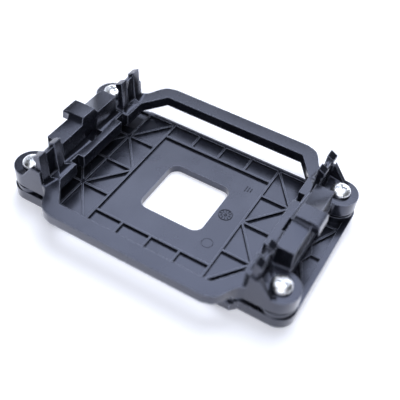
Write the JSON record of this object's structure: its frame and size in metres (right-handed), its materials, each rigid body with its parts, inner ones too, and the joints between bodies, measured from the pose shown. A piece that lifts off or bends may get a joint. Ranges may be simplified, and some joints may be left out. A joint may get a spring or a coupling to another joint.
{
  "type": "cpu cooler holder",
  "caption": "Clip-on cooler holder for a square processor socket: a retention frame with clip lugs and guide prongs, screwed through the board to a ribbed backplate with threaded inserts.",
  "frame": {"origin": "middle of the backplate's flat back face, on the line through the middle of the processor socket", "axes": "+X along the long side, through the two clip lugs; +Y across; +Z square to the board, from the backplate towards the cooler"},
  "size_m": [0.1096, 0.08, 0.0244],
  "materials": {
    "black_plastic": "fine satin grain",
    "insert_brass": "turned",
    "plated_steel": "bright nickel plate"
  },
  "bodies": {
    "holder": {"backplate": "black_plastic", "retention_frame": "black_plastic", "threaded_insert_1": "insert_brass", "threaded_insert_2": "insert_brass", "threaded_insert_3": "insert_brass", "threaded_insert_4": "insert_brass"},
    "screw_1": {"screw_1": "plated_steel"},
    "screw_2": {"screw_2": "plated_steel"},
    "screw_3": {"screw_3": "plated_steel"},
    "screw_4": {"screw_4": "plated_steel"}
  },
  "joints": [
    {"name": "screw_1_turn", "type": "hinge", "parent": "holder", "child": "screw_1", "pos_m": [0.048, 0.024, 0.0127], "axis": [0, 0, 1], "range_deg": [0, 1836]},
    {"name": "screw_2_turn", "type": "hinge", "parent": "holder", "child": "screw_2", "pos_m": [-0.048, 0.024, 0.0127], "axis": [0, 0, 1], "range_deg": [0, 1836]},
    {"name": "screw_3_turn", "type": "hinge", "parent": "holder", "child": "screw_3", "pos_m": [-0.048, -0.024, 0.0127], "axis": [0, 0, 1], "range_deg": [0, 1836]},
    {"name": "screw_4_turn", "type": "hinge", "parent": "holder", "child": "screw_4", "pos_m": [0.048, -0.024, 0.0127], "axis": [0, 0, 1], "range_deg": [0, 1836]}
  ]
}
